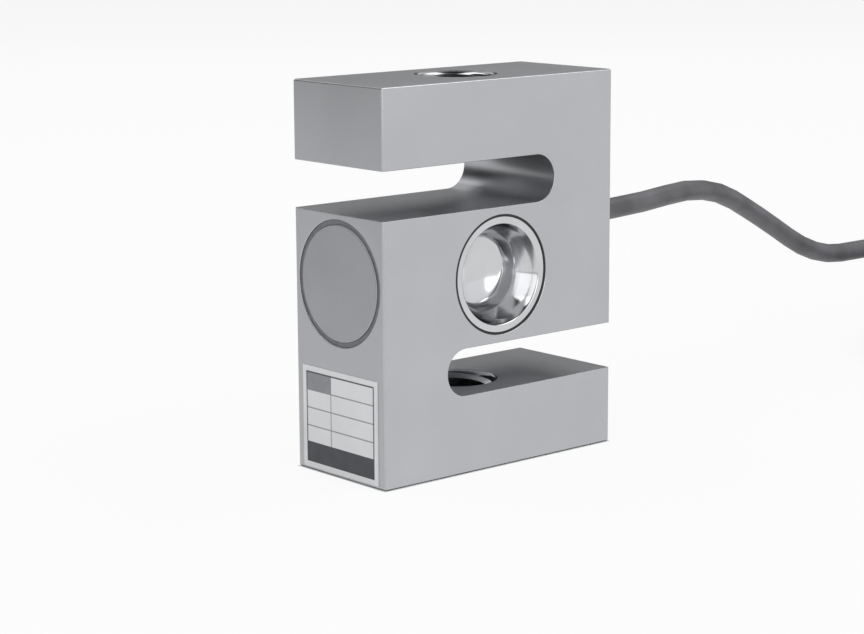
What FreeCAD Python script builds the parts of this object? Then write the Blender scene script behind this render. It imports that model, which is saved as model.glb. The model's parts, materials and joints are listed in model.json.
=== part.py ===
import FreeCAD, Part
import math
import os
import re
import Sketcher
from FreeCAD import Placement, Rotation, Vector

# Weighing load cell of the S-beam kind: a steel block milled into an S, with gauges on a
# thin shear web, drawn cups over the web, a round cover over the bridge board and a cable.
# The frame has the front face towards -Y, the cover and the label on -X, the cable on +X
# and +Z up through the two tapped holes. The origin is the centre of the bottom face.

# Driving sizes, in millimetres
SIZES = {
    # S-shaped body
    "body_height": 64.0,
    "body_width": 50.0,
    "body_thickness": 22.5,
    "bar_height": 13.0,
    "slot_height": 7.8,
    "column_width": 13.3,
    "edge_chamfer": 0.3,
    "slot_chamfer": 0.1,
    "mouth_chamfer": 0.15,
    # tapped holes for the load, drawn at the thread's outer diameter
    "thread_diameter": 12.0,
    "thread_mouth": 13.6,
    # gauge pockets either side of the shear web, and the seats of their cups
    "web_thickness": 3.0,
    "seat_diameter": 19.75,
    "seat_depth": 0.6,
    "seat_ledge": 1.125,
    # drawn steel cups
    "cup_sheet": 0.4,
    "cup_gap": 0.32,
    "cup_flange_width": 1.15,
    "cup_mouth_taper": 0.75,
    "cup_mouth_depth": 1.55,
    "cup_wall_taper": 1.14,
    "cup_wall_depth": 3.95,
    "cup_well_taper": 0.65,
    "cup_well_depth": 6.4,
    "cup_floor_dish": 1.0,
    "cup_floor_flat": 1.0,
    "cup_floor_fillet": 0.6,
    "cup_seal_setback": 0.1,
    # round cover on the side and the pocket behind it
    "cover_seat_diameter": 20.6,
    "cover_seat_depth": 2.0,
    "cover_gap": 0.75,
    "cover_chamfer": 0.2,
    "cover_seal_setback": 0.35,
    "side_pocket_diameter": 17.0,
    "side_pocket_depth": 10.0,
    # label plate on the cover's side, below it
    "plate_width": 19.2,
    "plate_height": 17.0,
    "plate_thickness": 0.12,
    "plate_foot": 0.5,
    "plate_corner": 0.5,
    # strain gauges on the web
    "gauge_width": 7.0,
    "gauge_height": 5.6,
    "gauge_thickness": 0.1,
    "gauge_corner": 0.4,
    "tab_size": 1.0,
    "tab_pitch": 1.6,
    "tab_thickness": 0.05,
    # wire passages between the pockets
    "core_passage_diameter": 3.2,
    "lead_passage_diameter": 2.4,
    "core_passage_rise": 5.0,
    "lead_passage_drop": 5.0,
    "passage_bite": 3.25,
    # bridge board in the side pocket
    "board_diameter": 15.4,
    "board_thickness": 1.0,
    "pad_diameter": 15.0,
    "pad_thickness": 0.8,
    "resistor_length": 3.2,
    "resistor_width": 1.6,
    "resistor_height": 0.6,
    "resistor_pitch": 2.6,
    "hole_clearance": 0.05,
    "solder_height": 0.25,
    "solder_width": 0.15,
    "wire_stub": 0.3,
    # wires inside
    "core_diameter": 0.7,
    "core_pitch": 1.1,
    "core_bend": 5.5,
    "core_sweep": 4.0,
    "core_sag": 0.6,
    "core_fall": 5.0,
    "lead_diameter": 0.3,
    "lead_pitch": 0.7,
    # cable and its compression gland
    "cable_diameter": 3.7,
    "cable_rise": 5.8,
    "cable_passage_diameter": 4.1,
    "cable_passage_end": 1.0,
    "gland_bore_diameter": 8.0,
    "gland_bore_depth": 10.0,
    "gland_clearance": 0.05,
    "gland_hole_clearance": 0.2,
    "gland_washer_thickness": 0.8,
    "gland_grommet_length": 4.2,
    "gland_head_flats": 10.0,
    "gland_head_height": 4.5,
    "gland_head_chamfer": 0.4,
    # tied hank of the spare cable
    "hank_start": 119.0,
    "hank_axis": -9.5,
    "hank_straight": 33.0,
    "hank_inner_bend": 11.1,
    "hank_columns": 3,
    "hank_levels": 6,
    "tie_thickness": 0.5,
    "tie_width": 6.0,
    # free end of the cable
    "sleeve_diameter": 4.5,
    "sleeve_length": 10.0,
    "flying_lead_diameter": 1.2,
    "flying_lead_pitch": 1.5,
    "flying_lead_straight": 6.0,
    "flying_lead_slope": 8.0,
    "flying_lead_fan": 2.4,
    "drain_diameter": 0.8,
    "tip_diameter": 0.8,
    "tip_length": 5.0,
}

# Share of the shorter run that an arc of a wire takes on each side of its corner
ARC_SHARE = 0.45

# Colours of the cable's cores, with the place of each in the bundle, in core pitches
CORES = {"red": (-0.5, 0.5), "black": (0.5, 0.5), "green": (-0.5, -0.5), "white": (0.5, -0.5)}

# Where the core lies on the floor at the cable's free end, in steps of the fan
FAN_STEPS = {"red": -2, "black": 2, "green": -1, "white": 1}

doc = FreeCAD.newDocument("s_beam_load_cell")
sheet = doc.addObject("Spreadsheet::Sheet", "Sizes")
for row, (alias, size) in enumerate(SIZES.items(), 1):
    sheet.set(f"A{row}", alias)
    sheet.set(f"B{row}", str(size))
    sheet.setAlias(f"B{row}", alias)
doc.recompute()

# Sizes that several pieces share, as expressions on the sheet
HALF_WIDTH = "(body_width / 2)"
HALF_THICKNESS = "(body_thickness / 2)"
HALF_WEB = "(web_thickness / 2)"
MID_HEIGHT = "(body_height / 2)"
CABLE_RADIUS = "(cable_diameter / 2)"
CABLE_HEIGHT = f"({MID_HEIGHT} + cable_rise)"
POCKET_RADIUS = "(seat_diameter / 2 - seat_ledge)"
PASSAGE_END = f"({POCKET_RADIUS} - passage_bite)"
CUP_RIM_RADIUS = "(seat_diameter / 2 - cup_gap)"
CUP_WELL_BACK = f"({HALF_THICKNESS} - cup_well_depth - cup_sheet)"
WIRE_PLANE = f"(({HALF_WEB} + {CUP_WELL_BACK}) / 2)"
COVER_RADIUS = "(cover_seat_diameter / 2 - cover_gap)"
POCKET_FLOOR = f"({HALF_WIDTH} - cover_seat_depth - side_pocket_depth)"
BOARD_FACE = f"({POCKET_FLOOR} + pad_thickness + board_thickness)"
HANK_OUTER = "(hank_inner_bend + cable_diameter * (hank_columns - 0.5))"
HANK_INNER = f"(hank_inner_bend - {CABLE_RADIUS})"
HANK_HEIGHT = "(cable_diameter * hank_levels)"
HANK_LEFT = f"(hank_start + {HANK_OUTER})"
HANK_RIGHT = f"({HANK_LEFT} + hank_straight)"

sub_parts = []


def bound(text):
    """The expression with each size's name pointing at its cell."""

    def cell(found):
        word = found.group()
        return f"Sizes.{word}" if word in SIZES else word

    return re.sub(r"[a-z]\w*", cell, text)


def value(text):
    """The expression's number at the sheet's present sizes."""
    return float(sheet.evalExpression(bound(text)))


def add_part(kind, label):
    """A sub-part: a document object of that kind whose label names its file."""
    part = doc.addObject(kind, label)
    part.Label = label
    sub_parts.append(part)
    return part


def solid_part(label, shape):
    """A sub-part whose shape comes from Part's own functions."""
    part = add_part("Part::Feature", label)
    part.Shape = shape
    return part


def place(part, x="0", y="0", z="0", axis=(0, 0, 1), degrees=0.0):
    """Turns the part about the axis and binds its place to the sheet."""
    part.Placement = Placement(Vector(), Rotation(Vector(*axis), degrees))
    for letter, text in (("x", x), ("y", y), ("z", z)):
        part.setExpression(f"Placement.Base.{letter}", bound(text))


def place_on_wall(part, side, wall):
    """Stands a piece made about Z on a wall's front (side -1) or back (side 1)."""
    y = f"-{wall}" if side < 0 else wall
    place(part, y=y, z=MID_HEIGHT, axis=(1, 0, 0), degrees=-90.0 * side)


def new_sketch(body, role, lift="0"):
    """A sketch on the body's own origin plane, lifted along the plane's normal."""
    sketch = body.newObject("Sketcher::SketchObject", f"{body.Name}_sketch")
    plane = next(f for f in body.Origin.OriginFeatures if f.Role == role)
    sketch.AttachmentSupport = [(plane, "")]
    sketch.MapMode = "FlatFace"
    sketch.setExpression("AttachmentOffset.Base.z", bound(lift))
    return sketch


def hold_point(sketch, geometry, point, x, y):
    """Fixes a point of the sketch at two expressions; None leaves that way free."""
    for kind, text, axis in (("DistanceX", x, -2), ("DistanceY", y, -1)):
        if text == "0":
            sketch.addConstraint(Sketcher.Constraint("PointOnObject", geometry, point, axis))
        elif text is not None:
            rule = Sketcher.Constraint(kind, -1, 1, geometry, point, value(text))
            index = sketch.addConstraint(rule)
            sketch.setExpression(f"Constraints[{index}]", bound(text))


def draw_circle(sketch, radius, x="0", y="0"):
    """A circle of that radius about (x, y)."""
    centre = Vector(value(x), value(y), 0)
    circle = Part.Circle(centre, Vector(0, 0, 1), value(radius))
    geometry = sketch.addGeometry(circle, False)
    hold_point(sketch, geometry, 3, x, y)
    index = sketch.addConstraint(Sketcher.Constraint("Radius", geometry, value(radius)))
    sketch.setExpression(f"Constraints[{index}]", bound(radius))


def arc_centre(first, last, x):
    """The point at that x which is as far from one end of an arc as from the other."""
    chord = last - first
    middle = (first + last) * 0.5
    return Vector(x, middle.y - chord.x * (x - middle.x) / chord.y, 0)


def draw_outline(sketch, corners, arcs=None):
    """A closed outline through the corners. arcs gives, for a stretch by its number, the
    x of its arc's centre and whether the arc turns left on the way to the next corner."""
    arcs = arcs or {}
    points = [Vector(value(x), value(y), 0) for x, y in corners]
    ends = []
    for number, start in enumerate(points):
        finish = points[(number + 1) % len(points)]
        if number not in arcs:
            geometry = sketch.addGeometry(Part.LineSegment(start, finish), False)
            ends.append((geometry, 1, 2))
            continue
        centre_x, left_turn = arcs[number]
        first, last = (start, finish) if left_turn else (finish, start)
        centre = arc_centre(first, last, value(centre_x))
        arms = (first - centre, last - centre)
        circle = Part.Circle(centre, Vector(0, 0, 1), arms[0].Length)
        angles = [math.atan2(arm.y, arm.x) for arm in arms]
        geometry = sketch.addGeometry(Part.ArcOfCircle(circle, *angles), False)
        hold_point(sketch, geometry, 3, centre_x, None)
        ends.append((geometry, 1, 2) if left_turn else (geometry, 2, 1))
    for number, (geometry, begin, _) in enumerate(ends):
        before, _, finish = ends[number - 1]
        rule = Sketcher.Constraint("Coincident", before, finish, geometry, begin)
        sketch.addConstraint(rule)
        hold_point(sketch, geometry, begin, *corners[number])


def draw_box(sketch, x_low, x_high, y_low, y_high):
    """A rectangle between two x and two y expressions."""
    corners = [(x_low, y_low), (x_high, y_low), (x_high, y_high), (x_low, y_high)]
    draw_outline(sketch, corners)


def add_pad(body, sketch, length, symmetric=False, backwards=False):
    """Raises the sketch into material."""
    pad = body.newObject("PartDesign::Pad", f"{body.Name}_pad")
    pad.Profile = sketch
    pad.setExpression("Length", bound(length))
    pad.SideType = "Symmetric" if symmetric else "One side"
    pad.Reversed = backwards
    doc.recompute()
    return pad


def must_cut(body, before, feature):
    """Stops the build if a cut took nothing away."""
    doc.recompute()
    if not feature.Shape.Volume < before - 1e-6:
        raise RuntimeError(f"{body.Label}: {feature.Name} cuts nothing")
    return feature


def add_pocket(body, sketch, depth, backwards=False):
    """Cuts the sketch into the body to that depth."""
    before = body.Shape.Volume
    pocket = body.newObject("PartDesign::Pocket", f"{body.Name}_pocket")
    pocket.Profile = sketch
    pocket.setExpression("Length", bound(depth))
    pocket.Reversed = backwards
    return must_cut(body, before, pocket)


def turn_sketch(body, sketch, kind):
    """A Revolution or Groove of the sketch, all the way round its own upright axis."""
    turned = body.newObject(f"PartDesign::{kind}", f"{body.Name}_turned")
    turned.Profile = sketch
    turned.ReferenceAxis = (sketch, ["V_Axis"])
    turned.Angle = 360.0
    return turned


def add_edge_work(body, kind, size, wanted):
    """A Chamfer or Fillet of that size on the edges of the last feature that pass."""
    base = body.Tip
    edges = enumerate(base.Shape.Edges, 1)
    names = [f"Edge{number}" for number, edge in edges if wanted(edge)]
    work = body.newObject(f"PartDesign::{kind}", f"{body.Name}_{kind.lower()}")
    work.Base = (base, names)
    work.setExpression("Radius" if kind == "Fillet" else "Size", bound(size))
    doc.recompute()
    return work


def near(first, second):
    """Whether two lengths agree."""
    return abs(first - second) < 1e-4


def lies_at(edge, axis, place_mm):
    """Whether the whole edge lies where that coordinate, x, y or z, has that value."""
    ends = [getattr(vertex.Point, axis) for vertex in edge.Vertexes]
    ends.append(getattr(edge.CenterOfMass, axis))
    return all(near(end, place_mm) for end in ends)


def runs_along_x(edge):
    """Whether the edge is a straight one along x."""
    ends = [vertex.Point.x for vertex in edge.Vertexes]
    return near(edge.Length, max(ends) - min(ends))


def is_circle(edge, radius, axis, place_mm):
    """Whether the edge is a circle of that radius whose centre has that coordinate."""
    if edge.Degenerated or not isinstance(edge.Curve, Part.Circle):
        return False
    curve = edge.Curve
    return near(curve.Radius, radius) and near(getattr(curve.Center, axis), place_mm)


def rounded_path(points):
    """Straight runs joined by tangent arcs, and the arcs' radii."""
    edges, radii, start = [], [], points[0]
    for before, corner, after in zip(points, points[1:], points[2:]):
        back, ahead = before - corner, after - corner
        turn = math.pi - back.getAngle(ahead)
        reach = ARC_SHARE * min(back.Length, ahead.Length)
        radii.append(reach / math.tan(turn / 2))
        back.normalize()
        ahead.normalize()
        inward = (back + ahead).normalize()
        middle = corner + inward * (radii[-1] * (1 / math.cos(turn / 2) - 1))
        arc_start, arc_end = corner + back * reach, corner + ahead * reach
        edges.append(Part.LineSegment(start, arc_start).toShape())
        edges.append(Part.Arc(arc_start, middle, arc_end).toShape())
        start = arc_end
    edges.append(Part.LineSegment(start, points[-1]).toShape())
    return Part.Wire(edges), radii


def round_wire(points, diameter):
    """A round solid along the points, checked against its section times its length."""
    path, radii = rounded_path(points)
    section = Part.Circle(points[0], points[1] - points[0], diameter / 2).toShape()
    solid = path.makePipeShell([Part.Wire(section)], True, True)
    expected = math.pi * diameter**2 / 4 * path.Length
    if abs(solid.Volume / expected - 1) > 0.01:
        raise RuntimeError("a wire's volume does not match its length")
    return solid, path.Length, radii


def build_block():
    """The body's S outline as a block, with its corners broken and its slots' edges just dulled."""
    body = add_part("PartDesign::Body", "s_beam_body")
    bend = f"({HALF_WIDTH} - column_width - slot_height / 2)"
    low_slot = ("bar_height", "bar_height + slot_height")
    high_slot = ("body_height - bar_height", "body_height - bar_height - slot_height")
    corners = [
        (f"-{HALF_WIDTH}", "0"),
        (HALF_WIDTH, "0"),
        (HALF_WIDTH, low_slot[0]),
        (f"-{bend}", low_slot[0]),
        (f"-{bend}", low_slot[1]),
        (HALF_WIDTH, low_slot[1]),
        (HALF_WIDTH, "body_height"),
        (f"-{HALF_WIDTH}", "body_height"),
        (f"-{HALF_WIDTH}", high_slot[0]),
        (bend, high_slot[0]),
        (bend, high_slot[1]),
        (f"-{HALF_WIDTH}", high_slot[1]),
    ]
    sketch = new_sketch(body, "XZ_Plane")
    draw_outline(sketch, corners, {3: (f"-{bend}", False), 9: (bend, False)})
    add_pad(body, sketch, "body_thickness", symmetric=True)
    wide, deep = value(HALF_WIDTH), value(HALF_THICKNESS)
    walls = [("x", -wide), ("x", wide), ("y", -deep), ("y", deep), ("z", 0), ("z", value("body_height"))]

    def walls_of(edge):
        return sum(lies_at(edge, axis, place_mm) for axis, place_mm in walls)

    def is_slot_edge(edge):
        ends = [vertex.Point.z for vertex in edge.Vertexes]
        inside = any(low < min(ends) and max(ends) < high for low, high in slots)
        return inside and walls_of(edge) == 1

    half_slot = value("slot_height / 2")
    middles = [value("bar_height") + half_slot, value("body_height - bar_height") - half_slot]
    slots = [(middle - 1.01 * half_slot, middle + 1.01 * half_slot) for middle in middles]
    add_edge_work(body, "Chamfer", "edge_chamfer", lambda edge: walls_of(edge) == 2)
    add_edge_work(body, "Chamfer", "slot_chamfer", is_slot_edge)
    return body


def cut_tapped_holes(body):
    """The hole through each bar, countersunk at both ends."""
    slope = "(thread_mouth - thread_diameter) / 2"
    low_bar = ("0", slope, f"bar_height - {slope}", "bar_height")
    top = "body_height"
    high_bar = (top, f"{top} - {slope}", f"{top} - bar_height + {slope}", f"{top} - bar_height")
    for outer, below, above, inner in (low_bar, high_bar):
        profile = [
            ("0", outer),
            ("thread_mouth / 2", outer),
            ("thread_diameter / 2", below),
            ("thread_diameter / 2", above),
            ("thread_mouth / 2", inner),
            ("0", inner),
        ]
        sketch = new_sketch(body, "XZ_Plane")
        draw_outline(sketch, profile)
        before = body.Shape.Volume
        must_cut(body, before, turn_sketch(body, sketch, "Groove"))


def cut_gauge_pockets(body):
    """The cup's seat and the pocket down to the web, on the front and again on the back."""
    cuts = (
        ("seat_diameter / 2", "seat_depth"),
        (POCKET_RADIUS, f"{HALF_THICKNESS} - {HALF_WEB}"),
    )
    front = []
    for radius, depth in cuts:
        sketch = new_sketch(body, "XZ_Plane", HALF_THICKNESS)
        draw_circle(sketch, radius, "0", MID_HEIGHT)
        front.append(add_pocket(body, sketch, depth))
    before = body.Shape.Volume
    rear = body.newObject("PartDesign::Mirrored", "rear_pockets")
    rear.Originals = front
    plane = next(f for f in body.Origin.OriginFeatures if f.Role == "XZ_Plane")
    rear.MirrorPlane = (plane, [""])
    body.Tip = rear
    must_cut(body, before, rear)


def draw_passages(sketch):
    """The wire passages seen along X: one for the cable's cores, two for gauge leads."""
    high, low = f"{MID_HEIGHT} + core_passage_rise", f"{MID_HEIGHT} - lead_passage_drop"
    draw_circle(sketch, "core_passage_diameter / 2", f"-{WIRE_PLANE}", high)
    for y in (f"-{WIRE_PLANE}", WIRE_PLANE):
        draw_circle(sketch, "lead_passage_diameter / 2", y, low)


def cut_side_pocket(body):
    """The cover's seat, the board's pocket and the wire passages out of it."""
    cuts = (
        ("cover_seat_diameter / 2", "cover_seat_depth"),
        ("side_pocket_diameter / 2", "cover_seat_depth + side_pocket_depth"),
    )
    for radius, depth in cuts:
        sketch = new_sketch(body, "YZ_Plane", f"-{HALF_WIDTH}")
        draw_circle(sketch, radius, "0", MID_HEIGHT)
        add_pocket(body, sketch, depth, backwards=True)
    sketch = new_sketch(body, "YZ_Plane", f"-{HALF_WIDTH}")
    draw_passages(sketch)
    add_pocket(body, sketch, f"{HALF_WIDTH} - {PASSAGE_END}", backwards=True)


def cut_cable_bore(body):
    """The gland's bore and the cable's way on into the gauge pockets."""
    cuts = (
        ("gland_bore_diameter / 2", "gland_bore_depth"),
        ("cable_passage_diameter / 2", f"{HALF_WIDTH} - cable_passage_end"),
    )
    for radius, depth in cuts:
        sketch = new_sketch(body, "YZ_Plane", HALF_WIDTH)
        draw_circle(sketch, radius, "0", CABLE_HEIGHT)
        add_pocket(body, sketch, depth)


def break_mouths(body):
    """A fine chamfer round the mouths of the cups' and the cover's seats."""
    far_y, far_x = value(HALF_THICKNESS), value(HALF_WIDTH)
    seat, cover = value("seat_diameter / 2"), value("cover_seat_diameter / 2")

    def is_mouth(edge):
        on_walls = is_circle(edge, seat, "y", far_y) or is_circle(edge, seat, "y", -far_y)
        return on_walls or is_circle(edge, cover, "x", -far_x)

    add_edge_work(body, "Chamfer", "mouth_chamfer", is_mouth)


def build_body():
    """The S-shaped block with its slots, tapped holes, pockets and bores."""
    body = build_block()
    cut_tapped_holes(body)
    cut_gauge_pockets(body)
    cut_side_pocket(body)
    cut_cable_bore(body)
    break_mouths(body)


def build_cup(label, side):
    """A drawn cup with a flat flange, three tapers and a dished floor, shelled from its hollow."""
    cup = add_part("PartDesign::Body", label)
    face = "(seat_depth - cup_sheet)"
    mouth = f"({CUP_RIM_RADIUS} - cup_flange_width)"
    throat = f"({mouth} - cup_mouth_taper)"
    waist = f"({throat} - cup_wall_taper)"
    floor = f"({waist} - cup_well_taper)"
    steps = [
        ("0", face),
        (mouth, face),
        (throat, "cup_mouth_depth"),
        (waist, "cup_wall_depth"),
        (floor, "cup_well_depth"),
        ("cup_floor_flat", "(cup_well_depth + cup_floor_dish)"),
        ("0", "(cup_well_depth + cup_floor_dish)"),
    ]
    sketch = new_sketch(cup, "XZ_Plane")
    dish = {4: ("0", False)}
    draw_outline(sketch, [(radius, f"-{depth}") for radius, depth in steps], dish)
    turn_sketch(cup, sketch, "Revolution")
    doc.recompute()
    corner = (value(floor), "z", -value("cup_well_depth"))
    add_edge_work(cup, "Fillet", "cup_floor_fillet", lambda edge: is_circle(edge, *corner))
    hollow = cup.Tip
    top = -value(face)
    faces = enumerate(hollow.Shape.Faces, 1)
    shell = cup.newObject("PartDesign::Thickness", f"{cup.Name}_shell")
    shell.Base = (hollow, [f"Face{n}" for n, f in faces if near(f.CenterOfMass.z, top)])
    shell.setExpression("Value", bound("cup_sheet"))
    shell.Reversed = False
    shell.Join = "Intersection"
    doc.recompute()
    sketch = new_sketch(cup, "XZ_Plane")
    draw_box(sketch, mouth, CUP_RIM_RADIUS, "-seat_depth", f"-{face}")
    turn_sketch(cup, sketch, "Revolution")
    doc.recompute()
    place_on_wall(cup, side, HALF_THICKNESS)


def build_ring(label, outer, inner, low, high):
    """A flat ring about Z between two depths below its face."""
    ring = add_part("PartDesign::Body", label)
    sketch = new_sketch(ring, "XY_Plane", f"-{low}")
    draw_circle(sketch, outer)
    draw_circle(sketch, inner)
    add_pad(ring, sketch, f"{low} - {high}")
    return ring


def build_cup_seal(label, side):
    """The bead of sealant in the gap round a cup."""
    outer = "seat_diameter / 2"
    seal = build_ring(label, outer, CUP_RIM_RADIUS, "seat_depth", "cup_seal_setback")
    place_on_wall(seal, side, HALF_THICKNESS)


def build_side_cover():
    """The round cover over the bridge board, flush with the side, and its sealant bead."""
    cover = add_part("PartDesign::Body", "side_cover")
    sketch = new_sketch(cover, "XY_Plane", "-cover_seat_depth")
    draw_circle(sketch, COVER_RADIUS)
    add_pad(cover, sketch, "cover_seat_depth")
    radius = value(COVER_RADIUS)
    add_edge_work(cover, "Chamfer", "cover_chamfer", lambda edge: is_circle(edge, radius, "z", 0.0))
    outer, setback = "cover_seat_diameter / 2", "cover_seal_setback"
    seal = build_ring("side_cover_seal", outer, COVER_RADIUS, "cover_seat_depth", setback)
    for piece in (cover, seal):
        place(piece, x=f"-{HALF_WIDTH}", z=MID_HEIGHT, axis=(0, 1, 0), degrees=-90.0)


def build_label_plate():
    """The thin plate on the side below the cover."""
    plate = add_part("PartDesign::Body", "label_plate")
    sketch = new_sketch(plate, "YZ_Plane")
    top = "plate_foot + plate_height"
    draw_box(sketch, "-plate_width / 2", "plate_width / 2", "plate_foot", top)
    add_pad(plate, sketch, "plate_thickness", backwards=True)
    thickness = value("plate_thickness")
    add_edge_work(plate, "Fillet", "plate_corner", lambda edge: near(edge.Length, thickness))
    place(plate, x=f"-{HALF_WIDTH}")


def build_gauge(label, side):
    """A foil gauge for shear: its carrier with three solder tabs, on one face of the web."""
    gauge = add_part("PartDesign::Body", label)
    left, low = "-gauge_width / 2", "-gauge_height / 2"
    sketch = new_sketch(gauge, "XY_Plane")
    draw_box(sketch, left, "gauge_width / 2", low, "gauge_height / 2")
    add_pad(gauge, sketch, "gauge_thickness")
    thickness = value("gauge_thickness")
    add_edge_work(gauge, "Fillet", "gauge_corner", lambda edge: near(edge.Length, thickness))
    sketch = new_sketch(gauge, "XY_Plane", "gauge_thickness")
    for centre in ("-tab_pitch", "0 * tab_pitch", "tab_pitch"):
        ends = (f"{centre} - tab_size / 2", f"{centre} + tab_size / 2")
        draw_box(sketch, left, f"{left} + tab_size", *ends)
    add_pad(gauge, sketch, "tab_thickness")
    place_on_wall(gauge, side, HALF_WEB)


def lead_shifts():
    """How far each gauge lead lies above the middle one, at its tab and in its passage."""
    return [(n * value("tab_pitch"), n * value("lead_pitch")) for n in (-1, 0, 1)]


def build_gauge_leads(label, side):
    """Three fine wires from a gauge's tabs through their passage to the board."""
    lead = value("lead_diameter")
    tab_y = side * (value(f"{HALF_WEB} + gauge_thickness + tab_thickness") + lead / 2)
    passage_y = side * value(WIRE_PLANE)
    tab_x = value("tab_size - gauge_width / 2")
    bend_x = tab_x - value("tab_size") - lead
    passage_x = -value(PASSAGE_END) - lead
    board_x = -value(f"{BOARD_FACE} + wire_stub")
    tab_z, passage_z = value(MID_HEIGHT), value(f"{MID_HEIGHT} - lead_passage_drop")
    wires = []
    for at_tab, in_passage in lead_shifts():
        points = [
            Vector(tab_x, tab_y, tab_z + at_tab),
            Vector(bend_x, tab_y, tab_z + at_tab),
            Vector(passage_x, passage_y, passage_z + in_passage),
            Vector(board_x, passage_y, passage_z + in_passage),
        ]
        wires.append(round_wire(points, lead)[0])
    solid_part(label, Part.Compound(wires))


def board_wires():
    """Each wire that ends at the board: its y, its z and its diameter."""
    y, pitch = value(WIRE_PLANE), value("core_pitch")
    core, lead = value("core_diameter"), value("lead_diameter")
    high, low = value(f"{MID_HEIGHT} + core_passage_rise"), value(f"{MID_HEIGHT} - lead_passage_drop")
    wires = [(a * pitch - y, high + b * pitch, core) for a, b in CORES.values()]
    for side in (-1, 1):
        wires += [(side * y, low + shift, lead) for _, shift in lead_shifts()]
    return wires


def build_board():
    """The bridge board on its adhesive pad, and the solder round each wire's end."""
    pad = add_part("PartDesign::Body", "board_pad")
    sketch = new_sketch(pad, "YZ_Plane")
    draw_circle(sketch, "pad_diameter / 2", "0", MID_HEIGHT)
    draw_passages(sketch)
    add_pad(pad, sketch, "pad_thickness", backwards=True)
    place(pad, x=f"-{POCKET_FLOOR}")

    along = Vector(1, 0, 0)
    thickness, height = value("board_thickness"), value("solder_height")
    middle = Vector(-value(BOARD_FACE), 0, value(MID_HEIGHT))
    board = Part.makeCylinder(value("board_diameter / 2"), thickness, middle, along)
    joints = []
    for y, z, wire in board_wires():
        at = Vector(middle.x, y, z)
        hole = wire / 2 + value("hole_clearance")
        foot = wire / 2 + value("solder_width")
        board = board.cut(Part.makeCylinder(hole, thickness, at, along))
        bead = Part.makeCone(foot, hole, height, at, -along)
        joints.append(bead.cut(Part.makeCylinder(wire / 2, height, at, -along)))
    solid_part("bridge_board", board)
    solid_part("solder_joints", Part.Compound(joints))


def build_resistors():
    """The trim resistors on the board, as one group."""
    group = []
    for number in (-1, 0, 1):
        resistor = doc.addObject("Part::Box", f"resistor_{number + 2}")
        resistor.setExpression("Length", bound("resistor_height"))
        resistor.setExpression("Width", bound("resistor_length"))
        resistor.setExpression("Height", bound("resistor_width"))
        x = f"-{BOARD_FACE} - resistor_height"
        z = f"{MID_HEIGHT} - resistor_width / 2 + {number} * resistor_pitch"
        place(resistor, x=x, y="resistor_width / 2", z=z)
        group.append(resistor)
    add_part("Part::Compound", "trim_resistors").Links = group


def build_inner_cores():
    """The cable's four cores from the end of its jacket to the board."""
    y, z = -value(WIRE_PLANE), value(f"{MID_HEIGHT} + core_passage_rise")
    height = value(CABLE_HEIGHT)
    points = [
        Vector(value(f"{HALF_WIDTH} - gland_bore_depth"), 0, height),
        Vector(value("core_bend"), 0, height),
        Vector(value("core_bend - core_sweep"), y, height - value("core_sag")),
        Vector(value("core_bend - core_sweep - core_fall"), y, z),
        Vector(-value(f"{BOARD_FACE} + wire_stub"), y, z),
    ]
    pitch = value("core_pitch")
    for colour, (a, b) in CORES.items():
        shift = Vector(0, a * pitch, b * pitch)
        core, _, _ = round_wire([point + shift for point in points], value("core_diameter"))
        solid_part(f"inner_core_{colour}", core)


def build_gland():
    """The compression gland: a hollow hexagon screw, a washer and a rubber grommet."""
    hole = f"({CABLE_RADIUS} + gland_hole_clearance)"
    outer = "(gland_bore_diameter / 2 - gland_clearance)"
    floor = "gland_bore_depth"
    washer_low = "(gland_bore_depth - gland_grommet_length)"
    screw_low = "(gland_bore_depth - gland_grommet_length - gland_washer_thickness)"
    grommet = build_ring("gland_grommet", outer, CABLE_RADIUS, floor, washer_low)
    washer = build_ring("gland_washer", outer, hole, washer_low, screw_low)

    screw = add_part("PartDesign::Body", "gland_screw")
    sketch = new_sketch(screw, "XY_Plane", f"-{screw_low}")
    draw_circle(sketch, outer)
    add_pad(screw, sketch, screw_low)
    corner, flat = "(gland_head_flats / sqrt(3))", "gland_head_flats / 2"
    hexagon = [
        (corner, "0"),
        (f"{corner} / 2", flat),
        (f"-{corner} / 2", flat),
        (f"-{corner}", "0"),
        (f"-{corner} / 2", f"-{flat}"),
        (f"{corner} / 2", f"-{flat}"),
    ]
    sketch = new_sketch(screw, "XY_Plane")
    draw_outline(sketch, hexagon)
    add_pad(screw, sketch, "gland_head_height")
    top = value("gland_head_height")
    add_edge_work(screw, "Chamfer", "gland_head_chamfer", lambda edge: lies_at(edge, "z", top))
    sketch = new_sketch(screw, "XY_Plane", "gland_head_height")
    draw_circle(sketch, hole)
    add_pocket(screw, sketch, f"gland_head_height + {screw_low}")
    for piece in (grommet, washer, screw):
        place(piece, x=HALF_WIDTH, z=CABLE_HEIGHT, axis=(0, 1, 0), degrees=90.0)


def build_cable_run():
    """The free cable from inside the gland to the hank's top layer."""
    face_x, height = value(HALF_WIDTH), value(CABLE_HEIGHT)
    half = value(CABLE_RADIUS)
    entry = Vector(
        value("hank_start"),
        value(f"hank_axis + {HANK_OUTER}") - half,
        value(f"tie_thickness + {HANK_HEIGHT}") - half,
    )
    route = [
        Vector(face_x - value("gland_bore_depth"), 0, height),
        Vector(face_x + 15.0, 0, height),
        Vector(face_x + 40.0, 4.0, height + 1.9),
        Vector(face_x + 60.0, 8.0, height - 6.8),
        entry - Vector(16.0, 0, 0),
        entry,
    ]
    cable, length, radii = round_wire(route, value("cable_diameter"))
    solid_part("cable_run", cable)
    print(f"cable run {length:.1f} mm, radii", [round(radius, 1) for radius in radii])


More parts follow.
